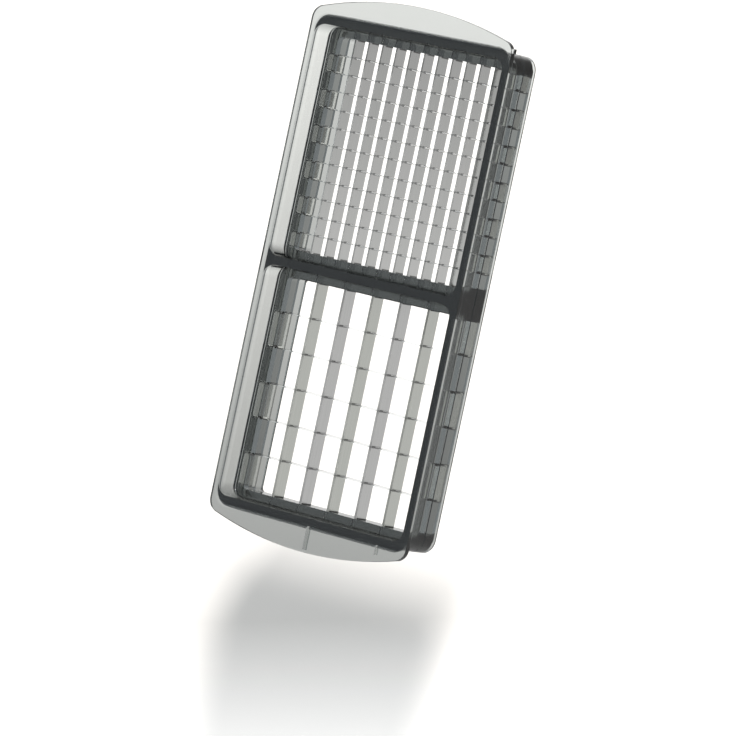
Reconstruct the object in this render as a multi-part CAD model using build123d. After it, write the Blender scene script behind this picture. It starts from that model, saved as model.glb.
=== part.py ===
from build123d import *
import os

# Blade insert of a hand-operated vegetable dicer. Millimetres, +Z up out of the flange.
# X runs across the insert, Y along it. The origin is at the middle of the underside.
# Two transparent mouldings, upper and lower, meet at PARTING_Z and clamp two blade grids between
# them: the fine grid on the +Y side and the coarse grid on the -Y side. Each grid is two steel
# strips bent to and fro, one along the insert and one across it, half-lapped where they cross.

# --- Overall -------------------------------------------------------------------------------
HEIGHT = 18.0
FLANGE_WIDTH = 85.4
FLANGE_LENGTH = 181.6
FLANGE_THICKNESS = 1.8
FLANGE_CORNER = 4.5
TAB_ARC_RADIUS = 147.0
EDGE_ROUND = 0.2
FLANGE_ROOT_FILLET = 1.2

# --- Skirt, wells and windows --------------------------------------------------------------
SKIRT_WIDTH = 82.4
SKIRT_LENGTH = 164.4
SKIRT_CORNER = 5.0
SKIRT_FOOT_Z = 1.6
SKIRT_WALL = 1.2
FOOT_ROUND = 0.3
WINDOW = 72.0
WINDOW_SPACING = 81.0
WINDOW_CORNER = 1.5
WINDOW_BOTTOM_ROUND = 0.3
WELL_WIDTH = 80.0
WELL_LENGTH = 78.0
WELL_CORNER = 4.0
WELL_RIM_ROUND = 0.2
LEDGE_Z = 10.2
LEDGE_FILLET = 1.0
PARTING_Z = 7.8
SEAM_GAP = 0.06
SEAM_CHAMFER = 0.2
GROOVE_TOP = 2.7
GROOVE_WIDTH = 1.8

# --- Blade grids ---------------------------------------------------------------------------
GRIDS = {
    "fine": {"pitch": 6.0, "centre_y": WINDOW_SPACING / 2, "bottom": 3.5, "top": 8.8, "bevel": 0.5},
    "coarse": {"pitch": 12.0, "centre_y": -WINDOW_SPACING / 2, "bottom": 3.2, "top": 9.3, "bevel": 0.9},
}
BLADE_THICKNESS = 0.35
EDGE_WIDTH = 0.06
NOTCH_CLEARANCE = 0.1
STRIP_HALF_LENGTH = 39.4
BEND_RADIUS = 1.1
TAIL_END = 35.2

# --- Blade seats in the mouldings ----------------------------------------------------------
SLIT_WIDTH = 0.45
POCKET_INNER = 37.4
POCKET_OUTER = 39.6
POCKET_CORNER = 0.4
POCKET_CLEARANCE = 0.15

# --- Small features ------------------------------------------------------------------------
TAB_RIB_WIDTH = 1.0
TAB_RIB_HEIGHT = 1.2
TAB_RIB_INSET = 0.8
SHORT_RIB_X = 29.5
SHORT_RIB_WIDTH = 0.6
SHORT_RIB_LENGTH = 3.2
NUB_Y = 82.6
NUB_LENGTH = 1.6
NUB_PROUD = 0.5

# --- Worked out ----------------------------------------------------------------------------
FLANGE_BOTTOM = HEIGHT - FLANGE_THICKNESS
UPPER_LOW = PARTING_Z + SEAM_GAP / 2
LOWER_HIGH = PARTING_Z - SEAM_GAP / 2
RUN_HALF_LENGTH = STRIP_HALF_LENGTH - BEND_RADIUS


def run_offsets(pitch):
    """Blade positions across a window, lowest first: one per pitch, none on the edges."""
    count = round(WINDOW / pitch) - 1
    return [pitch * (i - (count - 1) / 2) for i in range(count)]


def bend_spans(pitch):
    """Turns of a strip with runs along X: its end (+1 or -1), the run it leaves, where it goes."""
    runs = list(reversed(run_offsets(pitch)))
    spans = [(1, runs[0], TAIL_END)]
    end = 1
    for run_y, next_y in zip(runs, runs[1:] + [-TAIL_END]):
        end = -end
        spans.append((end, run_y, next_y))
    return spans


def block(x_size, y_size, z_low, z_high, corner=0.0):
    """An upright block centred on the Z axis, with rounded vertical corners."""
    outline = RectangleRounded(x_size, y_size, corner) if corner else Rectangle(x_size, y_size)
    return Pos(0, 0, z_low) * extrude(outline, z_high - z_low)


# --- Mouldings -----------------------------------------------------------------------------
def flange():
    """Thin plate whose two short ends bulge out in an arc as finger tabs."""
    half_width = FLANGE_WIDTH / 2
    half_length = FLANGE_LENGTH / 2
    bulge = TAB_ARC_RADIUS - (TAB_ARC_RADIUS**2 - half_width**2) ** 0.5
    side = half_length - bulge
    outline = (
        Line((half_width, -side), (half_width, side))
        + ThreePointArc((half_width, side), (0, half_length), (-half_width, side))
        + Line((-half_width, side), (-half_width, -side))
        + ThreePointArc((-half_width, -side), (0, -half_length), (half_width, -side))
    )
    face = make_face(outline)
    face = fillet(face.vertices(), FLANGE_CORNER)
    plate = Pos(0, 0, FLANGE_BOTTOM) * extrude(face, FLANGE_THICKNESS)
    rims = plate.edges().group_by(Axis.Z)
    return fillet(rims[0] + rims[-1], EDGE_ROUND)


def underside_details():
    """Two ribs under the -Y tab and the small nub on the flange's +X edge."""
    rib_y_high = -SKIRT_LENGTH / 2
    rib_y_low = -FLANGE_LENGTH / 2 + TAB_RIB_INSET
    rib_z = FLANGE_BOTTOM - TAB_RIB_HEIGHT / 2
    rib = Box(TAB_RIB_WIDTH, rib_y_high - rib_y_low, TAB_RIB_HEIGHT)
    short_rib = Box(SHORT_RIB_WIDTH, SHORT_RIB_LENGTH, TAB_RIB_HEIGHT)
    nub = Box(2 * NUB_PROUD, NUB_LENGTH, FLANGE_THICKNESS - 2 * EDGE_ROUND)
    return [
        Pos(0, (rib_y_low + rib_y_high) / 2, rib_z) * rib,
        Pos(SHORT_RIB_X, rib_y_high - SHORT_RIB_LENGTH / 2, rib_z) * short_rib,
        Pos(FLANGE_WIDTH / 2, NUB_Y, HEIGHT - FLANGE_THICKNESS / 2) * nub,
    ]


def slits(grid):
    """Close-fitting slits for every run and bend of both strips of one grid."""
    across = end_bends(grid, SLIT_WIDTH)
    for offset in run_offsets(grid["pitch"]):
        run = block(2 * RUN_HALF_LENGTH, SLIT_WIDTH, grid["bottom"], grid["top"])
        across.append(Pos(0, offset, 0) * run)
    both = across + [Rot(0, 0, 90) * slit for slit in across]
    return [Pos(0, grid["centre_y"], 0) * slit for slit in both]


def side_pockets(grid):
    """Roomier pockets round the bends of the strip that runs across, along both long sides."""
    centre_x = (POCKET_INNER + POCKET_OUTER) / 2
    width = POCKET_OUTER - POCKET_INNER
    pockets = []
    for end, run_y, next_y in bend_spans(grid["pitch"]):
        length = abs(next_y - run_y) + BLADE_THICKNESS + 2 * POCKET_CLEARANCE
        pocket = block(width, length, grid["bottom"], LOWER_HIGH, POCKET_CORNER)
        pockets.append(Pos(end * centre_x, grid["centre_y"] + (run_y + next_y) / 2, 0) * pocket)
    return pockets


def upper_frame():
    """Flange, two wells, ledges round the windows and the upper part of the blade slits."""
    body = block(SKIRT_WIDTH, SKIRT_LENGTH, UPPER_LOW, FLANGE_BOTTOM, SKIRT_CORNER)
    body = chamfer(body.edges().group_by(Axis.Z)[0], SEAM_CHAMFER)
    body += flange()
    underside = body.faces().filter_by(Axis.Z).group_by(Axis.Z)[1][0]
    body = fillet(underside.inner_wires().edges(), FLANGE_ROOT_FILLET)
    for detail in underside_details():
        body += detail
    for grid in GRIDS.values():
        well = block(WELL_WIDTH, WELL_LENGTH, LEDGE_Z, HEIGHT, WELL_CORNER)
        well = fillet(well.edges().group_by(Axis.Z)[0], LEDGE_FILLET)
        window = block(WINDOW, WINDOW, UPPER_LOW, LEDGE_Z, WINDOW_CORNER)
        body -= Pos(0, grid["centre_y"], 0) * well
        body -= Pos(0, grid["centre_y"], 0) * window
        for slit in slits(grid):
            body -= slit
    top = body.faces().sort_by(Axis.Z)[-1]
    return fillet(top.inner_wires().edges(), WELL_RIM_ROUND)


def groove():
    """Groove round the underside that sets off the outer wall of the skirt."""
    width = SKIRT_WIDTH - 2 * SKIRT_WALL
    length = SKIRT_LENGTH - 2 * SKIRT_WALL
    corner = SKIRT_CORNER - SKIRT_WALL
    ring = block(width, length, 0, GROOVE_TOP, corner)
    inner_corner = corner - GROOVE_WIDTH
    return ring - block(width - 2 * GROOVE_WIDTH, length - 2 * GROOVE_WIDTH, 0, GROOVE_TOP, inner_corner)


def lower_frame():
    """Skirt below the joint line: window walls and the lower part of the blade seats."""
    body = block(SKIRT_WIDTH, SKIRT_LENGTH, SKIRT_FOOT_Z, LOWER_HIGH, SKIRT_CORNER)
    body = chamfer(body.edges().group_by(Axis.Z)[-1], SEAM_CHAMFER)
    body = fillet(body.edges().group_by(Axis.Z)[0], FOOT_ROUND)
    foot_width = SKIRT_WIDTH - 2 * SKIRT_WALL
    foot_length = SKIRT_LENGTH - 2 * SKIRT_WALL
    body += block(foot_width, foot_length, 0, GROOVE_TOP, SKIRT_CORNER - SKIRT_WALL)
    body -= groove()
    for grid in GRIDS.values():
        window = block(WINDOW, WINDOW, 0, LOWER_HIGH, WINDOW_CORNER)
        body -= Pos(0, grid["centre_y"], 0) * window
    underside = body.faces().sort_by(Axis.Z)[0]
    body = fillet(underside.inner_wires().edges(), WINDOW_BOTTOM_ROUND)
    for grid in GRIDS.values():
        for cut in slits(grid) + side_pockets(grid):
            body -= cut
    return body


# --- Blades --------------------------------------------------------------------------------
def blade_run(grid, notch_on_top):
    """One straight blade along Y, ground to an edge on top, half-lapped where others cross it."""
    half = BLADE_THICKNESS / 2
    half_edge = EDGE_WIDTH / 2
    bottom, top = grid["bottom"], grid["top"]
    shoulder = top - grid["bevel"]
    section = Polyline(
        (-half, bottom),
        (half, bottom),
        (half, shoulder),
        (half_edge, top),
        (-half_edge, top),
        (-half, shoulder),
        close=True,
    )
    blade = extrude(Plane.XZ * make_face(section), RUN_HALF_LENGTH, both=True)
    middle = (bottom + top) / 2
    notch_low, notch_high = (middle, top) if notch_on_top else (bottom, middle)
    notch = block(2 * BLADE_THICKNESS, BLADE_THICKNESS + NOTCH_CLEARANCE, notch_low, notch_high)
    for offset in run_offsets(grid["pitch"]):
        blade -= Pos(0, offset, 0) * notch
    return blade


def bend(run_y, next_y, grid, thickness):
    """Strip that turns out of the +X end of the run at run_y, into the next run or to its own end."""
    radius = BEND_RADIUS - BLADE_THICKNESS / 2
    web_x = STRIP_HALF_LENGTH - BLADE_THICKNESS / 2
    way = 1 if next_y > run_y else -1
    leave = RadiusArc((RUN_HALF_LENGTH, run_y), (web_x, run_y + way * radius), -way * radius)
    if abs(next_y) == TAIL_END:
        path = leave + Line(leave @ 1, (web_x, next_y))
    else:
        arrive = RadiusArc((web_x, next_y - way * radius), (RUN_HALF_LENGTH, next_y), -way * radius)
        path = leave + Line(leave @ 1, arrive @ 0) + arrive
    ribbon = trace(path, thickness)
    return Pos(0, 0, grid["bottom"]) * extrude(ribbon, grid["top"] - grid["bottom"])


def end_bends(grid, thickness):
    """All bends and both free ends of the strip whose runs lie along X, or room for them."""
    bends = []
    for end, run_y, next_y in bend_spans(grid["pitch"]):
        turned = Rot(0, 0, 0) if end > 0 else Rot(0, 0, 180)
        bends.append(turned * bend(end * run_y, end * next_y, grid, thickness))
    return bends


def blade_nodes(name, grid):
    """Every blade of one grid, lengthwise and cross, and the bends of both strips."""
    offsets = run_offsets(grid["pitch"])
    digits = len(str(len(offsets)))
    place = Pos(0, grid["centre_y"], 0)
    nodes = {}
    long_blade = blade_run(grid, notch_on_top=False)
    cross_blade = Rot(0, 0, 90) * blade_run(grid, notch_on_top=True)
    for number, offset in enumerate(offsets, start=1):
        nodes[f"{name}_long_blade_{number:0{digits}d}"] = place * Pos(offset, 0, 0) * long_blade
        nodes[f"{name}_cross_blade_{number:0{digits}d}"] = place * Pos(0, -offset, 0) * cross_blade
    bends = end_bends(grid, BLADE_THICKNESS)
    nodes[f"{name}_cross_end_bends"] = Compound([place * piece for piece in bends])
    nodes[f"{name}_long_end_bends"] = Compound([place * Rot(0, 0, 90) * piece for piece in bends])
    return nodes


def main():
    nodes = {"upper_frame": upper_frame(), "lower_frame": lower_frame()}
    for name, grid in GRIDS.items():
        nodes.update(blade_nodes(name, grid))
    os.makedirs("parts", exist_ok=True)
    for name, shape in nodes.items():
        export_step(shape, f"parts/{name}.step")
        print(name, round(shape.volume, 2))


main()
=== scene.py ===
import math

import bpy
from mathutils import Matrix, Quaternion, Vector


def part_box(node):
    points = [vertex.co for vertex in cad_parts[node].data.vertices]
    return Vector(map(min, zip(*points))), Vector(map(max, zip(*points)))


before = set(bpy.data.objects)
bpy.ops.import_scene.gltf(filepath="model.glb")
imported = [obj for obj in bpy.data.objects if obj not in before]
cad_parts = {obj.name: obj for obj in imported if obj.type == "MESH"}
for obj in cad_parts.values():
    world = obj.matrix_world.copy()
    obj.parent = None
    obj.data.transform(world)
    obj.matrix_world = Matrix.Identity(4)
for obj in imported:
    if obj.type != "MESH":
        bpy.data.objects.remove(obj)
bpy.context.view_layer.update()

# Blade insert of a vegetable dicer: two smoke-grey mouldings that hold a fine and a coarse grid of
# steel blades. The CAD parts keep their shapes. This script gives them their materials, and adds the
# floor, the light and the camera. Metres, +Z up, +Y along the insert. A ramp is written as the two
# places where it starts and ends, and its values there.

MM = 0.001

# --- Camera, in degrees, metres and millimetres of focal length ------------------------------
VIEW_AZIMUTH = 93.879
VIEW_ELEVATION = 50.978
VIEW_ROLL = -81.023
VIEW_DISTANCE = 1.82974
VIEW_TARGET = Vector((0.00443, -0.02768, 0.009))
LENS = 274.0
CLIP_END = 20.0

# --- Light: a key light, in degrees, metres and watts, and a dim room --------------------------
KEY_AZIMUTH = 151.3
KEY_ELEVATION = 33.46
KEY_DISTANCE = 2.0
KEY_SIZE = 0.14
KEY_POWER = 80.0
HORIZON_LIGHT = (0.14, 0.14, 0.14, 1)
OVERHEAD_LIGHT = (0.86, 0.93, 0.98, 1)

# --- Floor: pale paper well below the insert ---------------------------------------------------
FLOOR_DROP = 0.15
FLOOR_RADIUS = 4.0
FLOOR_SIDES = 96
PAPER = (0.80, 0.755, 0.71, 1)
# Its own glow, along GLOW_DIRECTION, which fades the shadow out with distance
GLOW_DIRECTION = Vector((-0.234, 0.972))
GLOW_RAMP = (-0.174, -0.0976, 0.78, 0.03)
# What the plastic and the steel see of it: one ramp along Y on the -X side, one on the +X side,
# and the ramp along X that blends them
MINUS_X_RAMP = (-0.12, 0.11, 0.62, 1.42)
PLUS_X_RAMP = (-0.02, 0.10, 0.74, 0.45)
BLEND_RAMP = (-0.03, 0.06, 0.0, 1.0)
MIRRORED_PAPER = (1.0, 1.0, 0.99, 1)

# --- Smoke-grey plastic: a cloudy tint, faint ripples and a dark inside --------------------------
PLASTIC_IOR = 1.54
TINT_TONES = ((0.94, 0.945, 0.915, 1), (0.98, 0.98, 0.955, 1))
TINT_SCALE = 60.0
RIPPLE_SCALE = 90.0
RIPPLE_STRENGTH = 0.15
RIPPLE_HEIGHT = 0.02 * MM
SMOKE = (0.295, 0.315, 0.315, 1)
SMOKE_DENSITY = 386.0

# --- Blade steel: rolling lines, matt ground edges, painted shade at each lap and painted dark reflections ---
ROLLED_ALONG_X = (60.0, 1200.0, 4000.0)
ROLLED_ALONG_Y = (1200.0, 60.0, 4000.0)
LONG_ROUGHNESS = (0.10, 0.18)
CROSS_ROUGHNESS = (0.06, 0.12)
CROSS_TONES = ((0.86, 0.86, 0.85, 1), (0.94, 0.94, 0.93, 1))
GROUND_ROUGHNESS = 0.5
GRIND_FADE = 0.05 * MM
# Painted shade at each lap of the lengthwise blades, also used for the painted dark reflection on
# the cross blades
PAINTED_SHADE_COLOUR = (0.05, 0.05, 0.05, 1)
LAP_SHADE_HALF_WIDTH = 0.42 * MM
PAINTED_SHADE_CORE = 0.6
PAINTED_SHADE_FADE = 0.2 * MM

# By grid: the height of the ground edge, how far below the top the painted shade at each lap starts,
# how dark that painted shade and the painted dark reflection are, the middle and half the length of
# the stretch where a cross blade gets a painted dark reflection of the lengthwise blade beside it,
# and the darkest and lightest tone of the strip's two faces.
GRIDS = {
    "fine": {
        "grind": 0.5 * MM,
        "lap_shade_drop": 1.4 * MM,
        "painted_shade_darkness": 0.75,
        "painted_reflection_middle": 0.9 * MM,
        "painted_reflection_half": 1.5 * MM,
        "tones": (
            ((0.62, 0.62, 0.615, 1), (0.73, 0.73, 0.72, 1)),
            ((0.60, 0.605, 0.595, 1), (0.71, 0.715, 0.705, 1)),
        ),
    },
    "coarse": {
        "grind": 0.9 * MM,
        "lap_shade_drop": 1.1 * MM,
        "painted_shade_darkness": 0.95,
        "painted_reflection_middle": 1.8 * MM,
        "painted_reflection_half": 2.8 * MM,
        "tones": (
            ((0.53, 0.53, 0.53, 1), (0.63, 0.63, 0.625, 1)),
            ((0.53, 0.54, 0.51, 1), (0.63, 0.64, 0.61, 1)),
        ),
    },
}


# --- Building blocks -----------------------------------------------------------------------------
def node(tree, kind, **settings):
    """Adds a node and sets its attributes and, by input name, its unlinked inputs."""
    made = tree.nodes.new("ShaderNode" + kind)
    for name, value in settings.items():
        if name in made.inputs:
            made.inputs[name].default_value = value
        else:
            setattr(made, name, value)
    return made


def math_node(tree, operation, *values):
    """The result of a sum on one, two or three values, each a number or the output of a node."""
    made = node(tree, "Math", operation=operation)
    for socket, value in zip(made.inputs, values):
        if isinstance(value, bpy.types.NodeSocket):
            tree.links.new(value, socket)
        else:
            socket.default_value = value
    return made.outputs[0]


def ramp_along(tree, source, ramp, smooth=False):
    """A value that follows a ramp as source grows, and is flat outside it."""
    made = node(tree, "MapRange", interpolation_type="SMOOTHSTEP" if smooth else "LINEAR")
    for name, value in zip(("From Min", "From Max", "To Min", "To Max"), ramp):
        made.inputs[name].default_value = value
    tree.links.new(source, made.inputs["Value"])
    return made.outputs["Result"]


def tone_ramp(tree, source, tones):
    """A colour between two tones."""
    made = node(tree, "ValToRGB")
    for element, tone in zip(made.color_ramp.elements, tones):
        element.color = tone
    tree.links.new(source, made.inputs["Fac"])
    return made.outputs["Color"]


def mix_colours(tree, amount, first, second):
    """The colour first, an output of a node, mixed with the fixed colour second."""
    made = node(tree, "Mix", data_type="RGBA")
    first_socket, second_socket = [socket for socket in made.inputs if socket.type == "RGBA"]
    second_socket.default_value = second
    tree.links.new(amount, made.inputs["Factor"])
    tree.links.new(first, first_socket)
    return next(socket for socket in made.outputs if socket.type == "RGBA")


def mix_values(tree, amount, first, second):
    """The value first mixed with second, each a number or the output of a node."""
    made = node(tree, "Mix", data_type="FLOAT")
    tree.links.new(amount, made.inputs["Factor"])
    for name, value in (("A", first), ("B", second)):
        if isinstance(value, bpy.types.NodeSocket):
            tree.links.new(value, made.inputs[name])
        else:
            made.inputs[name].default_value = value
    return made.outputs["Result"]


def new_material(name):
    """An empty node material with its output, its object coordinates and those by axis."""
    material = bpy.data.materials.new(name)
    material.use_nodes = True
    tree = material.node_tree
    tree.nodes.clear()
    output = node(tree, "OutputMaterial")
    place = node(tree, "TexCoord").outputs["Object"]
    axes = node(tree, "SeparateXYZ")
    tree.links.new(place, axes.inputs["Vector"])
    return material, tree, output, place, axes.outputs


def bearing(azimuth, elevation):
    """Direction from the insert to a point at an azimuth and an elevation, in degrees."""
    a, e = math.radians(azimuth), math.radians(elevation)
    return Vector((math.sin(a) * math.cos(e), -math.cos(a) * math.cos(e), math.sin(e)))


# --- Materials -----------------------------------------------------------------------------------
def smoke_plastic():
    material, tree, output, place, _ = new_material("smoke_plastic")
    cloud = node(tree, "TexNoise", Scale=TINT_SCALE, Detail=3.0)
    wave = node(tree, "TexNoise", Scale=RIPPLE_SCALE, Detail=2.0)
    bump = node(tree, "Bump", Strength=RIPPLE_STRENGTH, Distance=RIPPLE_HEIGHT)
    shader = node(tree, "BsdfPrincipled", Roughness=0.0, IOR=PLASTIC_IOR)
    shader.inputs["Transmission Weight"].default_value = 1.0
    inside = node(tree, "VolumeAbsorption", Color=SMOKE, Density=SMOKE_DENSITY)
    tree.links.new(place, cloud.inputs["Vector"])
    tree.links.new(place, wave.inputs["Vector"])
    tree.links.new(tone_ramp(tree, cloud.outputs["Fac"], TINT_TONES), shader.inputs["Base Color"])
    tree.links.new(wave.outputs["Fac"], bump.inputs["Height"])
    tree.links.new(bump.outputs["Normal"], shader.inputs["Normal"])
    tree.links.new(shader.outputs["BSDF"], output.inputs["Surface"])
    tree.links.new(inside.outputs["Volume"], output.inputs["Volume"])
    return material


def paint_shade_at_crossings(tree, axes, colour, axis, middle, pitch, half_width, upper_z, darkness):
    """Darkens a band across a blade at middle and every pitch from it, from upper_z down: painted
    shade at each lap of a lengthwise blade, and a painted dark reflection on a cross blade.
    """
    from_middle = math_node(tree, "SUBTRACT", axes[axis], middle)
    from_crossing = math_node(tree, "PINGPONG", from_middle, pitch / 2)
    band = ramp_along(tree, from_crossing, (PAINTED_SHADE_CORE * half_width, half_width, darkness, 0.0))
    below = ramp_along(tree, axes["Z"], (upper_z - PAINTED_SHADE_FADE, upper_z, 1.0, 0.0))
    return mix_colours(tree, math_node(tree, "MULTIPLY", band, below), colour, PAINTED_SHADE_COLOUR)


def blade_steel(name, rolled, tones, roughness, grind_z=None, crossings=None):
    """Satin strip steel with rolling lines, matt from grind_z up, and a painted dark band at its
    crossings: painted shade on a lengthwise blade, a painted dark reflection on a cross blade.
    """
    material, tree, output, place, axes = new_material(name)
    stretch = node(tree, "Mapping", Scale=rolled)
    grain = node(tree, "TexNoise", Scale=1.0, Detail=4.0)
    shader = node(tree, "BsdfPrincipled", Metallic=1.0)
    tree.links.new(place, stretch.inputs["Vector"])
    tree.links.new(stretch.outputs["Vector"], grain.inputs["Vector"])
    colour = tone_ramp(tree, grain.outputs["Fac"], tones)
    sheen = ramp_along(tree, grain.outputs["Fac"], (0.0, 1.0, *roughness))
    if grind_z:
        ground = ramp_along(tree, axes["Z"], (grind_z - GRIND_FADE, grind_z + GRIND_FADE, 0.0, 1.0))
        sheen = mix_values(tree, ground, sheen, GROUND_ROUGHNESS)
    if crossings:
        colour = paint_shade_at_crossings(tree, axes, colour, *crossings)
    tree.links.new(sheen, shader.inputs["Roughness"])
    tree.links.new(colour, shader.inputs["Base Color"])
    tree.links.new(shader.outputs["BSDF"], output.inputs["Surface"])
    return material


def blade_places(name):
    """The pitch, the middle and the top of a grid, read from its cross blades."""
    boxes = [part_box(piece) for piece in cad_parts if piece.startswith(f"{name}_cross_blade")]
    centres = sorted((low[1] + high[1]) / 2 for low, high in boxes)
    return centres[1] - centres[0], sum(centres) / len(centres), boxes[0][1][2]


def grid_steels(name, grid):
    """Steel of one grid: two for the lengthwise blades, by turns, and one for the cross blades."""
    pitch, middle_y, top = blade_places(name)
    darkness = grid["painted_shade_darkness"]
    # Painted shade across each lengthwise blade where a cross blade laps into it
    painted_lap_shade = ("Y", middle_y, pitch, LAP_SHADE_HALF_WIDTH, top - grid["lap_shade_drop"], darkness)
    steels = []
    for turn, tones in enumerate(grid["tones"]):
        title = f"blade_steel_{name}_{turn}"
        grind_z = top - grid["grind"]
        steels.append(blade_steel(title, ROLLED_ALONG_Y, tones, LONG_ROUGHNESS, grind_z, painted_lap_shade))
    # A cross blade gets a painted dark reflection over its whole height where it would mirror a
    # lengthwise blade
    painted_reflection_band = ("X", grid["painted_reflection_middle"], pitch, grid["painted_reflection_half"], top + PAINTED_SHADE_FADE, darkness)
    title = f"blade_steel_{name}_across"
    steels.append(
        blade_steel(title, ROLLED_ALONG_X, CROSS_TONES, CROSS_ROUGHNESS, crossings=painted_reflection_band)
    )
    return steels


def paint_nodes():
    plastic = smoke_plastic()
    bends = blade_steel("blade_steel_bends", ROLLED_ALONG_X, CROSS_TONES, CROSS_ROUGHNESS)
    steels = {name: grid_steels(name, grid) for name, grid in GRIDS.items()}
    for name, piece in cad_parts.items():
        words = name.split("_")
        if name.endswith("frame"):
            material = plastic
        elif "long_blade" in name:
            material = steels[words[0]][int(words[-1]) % 2]
        elif "cross_blade" in name:
            material = steels[words[0]][-1]
        else:
            material = bends
        for slot in piece.material_slots:
            slot.material = material


def paper_for_camera(tree, x, y):
    """The paper as the camera sees it: lit from above, with its own faint glow."""
    paper = node(tree, "BsdfDiffuse", Color=PAPER)
    glow = node(tree, "Emission")
    across = math_node(tree, "MULTIPLY", x, GLOW_DIRECTION.x)
    along = math_node(tree, "MULTIPLY_ADD", y, GLOW_DIRECTION.y, across)
    tree.links.new(ramp_along(tree, along, GLOW_RAMP), glow.inputs["Strength"])
    both = node(tree, "AddShader")
    tree.links.new(paper.outputs[0], both.inputs[0])
    tree.links.new(glow.outputs[0], both.inputs[1])
    return both.outputs[0]


def paper_for_insert(tree, x, y):
    """The paper as the plastic and the steel see it: a soft gradient of light."""
    minus_x = ramp_along(tree, y, MINUS_X_RAMP)
    plus_x = ramp_along(tree, y, PLUS_X_RAMP)
    side = ramp_along(tree, x, BLEND_RAMP, smooth=True)
    light = node(tree, "Emission", Color=MIRRORED_PAPER)
    tree.links.new(mix_values(tree, side, minus_x, plus_x), light.inputs["Strength"])
    return light.outputs[0]


def pale_floor():
    material, tree, output, _, axes = new_material("pale_floor")
    x, y = axes["X"], axes["Y"]
    path = node(tree, "LightPath")
    mix = node(tree, "MixShader")
    tree.links.new(path.outputs["Is Camera Ray"], mix.inputs[0])
    tree.links.new(paper_for_insert(tree, x, y), mix.inputs[1])
    tree.links.new(paper_for_camera(tree, x, y), mix.inputs[2])
    tree.links.new(mix.outputs[0], output.inputs["Surface"])
    return material


# --- Stage ---------------------------------------------------------------------------------------
def make_floor():
    bpy.ops.mesh.primitive_circle_add(
        vertices=FLOOR_SIDES, radius=FLOOR_RADIUS, fill_type="NGON", location=(0, 0, -FLOOR_DROP)
    )
    floor = bpy.context.object
    floor.name = "floor"
    floor.data.materials.append(pale_floor())


def make_key_light():
    """A square soft light aimed at the insert."""
    back = bearing(KEY_AZIMUTH, KEY_ELEVATION)
    lamp = bpy.data.lights.new("key", "AREA")
    lamp.size = KEY_SIZE
    lamp.energy = KEY_POWER
    holder = bpy.data.objects.new("key", lamp)
    holder.location = back * KEY_DISTANCE
    holder.rotation_mode = "QUATERNION"
    holder.rotation_quaternion = (-back).to_track_quat("-Z", "Y")
    bpy.context.scene.collection.objects.link(holder)


def make_world():
    """Soft room light, dim at the horizon and brighter overhead. The camera sees plain white."""
    world = bpy.data.worlds.new("studio")
    world.use_nodes = True
    tree = world.node_tree
    tree.nodes.clear()
    place = node(tree, "TexCoord")
    axes = node(tree, "SeparateXYZ")
    tree.links.new(place.outputs["Generated"], axes.inputs["Vector"])
    room = tone_ramp(tree, axes.outputs["Z"], (HORIZON_LIGHT, OVERHEAD_LIGHT))
    path = node(tree, "LightPath")
    back = node(tree, "Background")
    output = node(tree, "OutputWorld")
    shade = mix_colours(tree, path.outputs["Is Camera Ray"], room, (1, 1, 1, 1))
    tree.links.new(shade, back.inputs["Color"])
    tree.links.new(back.outputs["Background"], output.inputs["Surface"])
    bpy.context.scene.world = world


def make_camera():
    back = bearing(VIEW_AZIMUTH, VIEW_ELEVATION)
    lens = bpy.data.cameras.new("camera")
    lens.lens = LENS
    lens.clip_end = CLIP_END
    camera = bpy.data.objects.new("camera", lens)
    camera.rotation_mode = "QUATERNION"
    level = (-back).to_track_quat("-Z", "Y")
    camera.rotation_quaternion = level @ Quaternion((0, 0, 1), math.radians(VIEW_ROLL))
    camera.location = VIEW_TARGET + back * VIEW_DISTANCE
    bpy.context.scene.collection.objects.link(camera)
    bpy.context.scene.camera = camera


paint_nodes()
make_floor()
make_world()
make_camera()
make_key_light()
bpy.context.scene.view_settings.view_transform = "Standard"
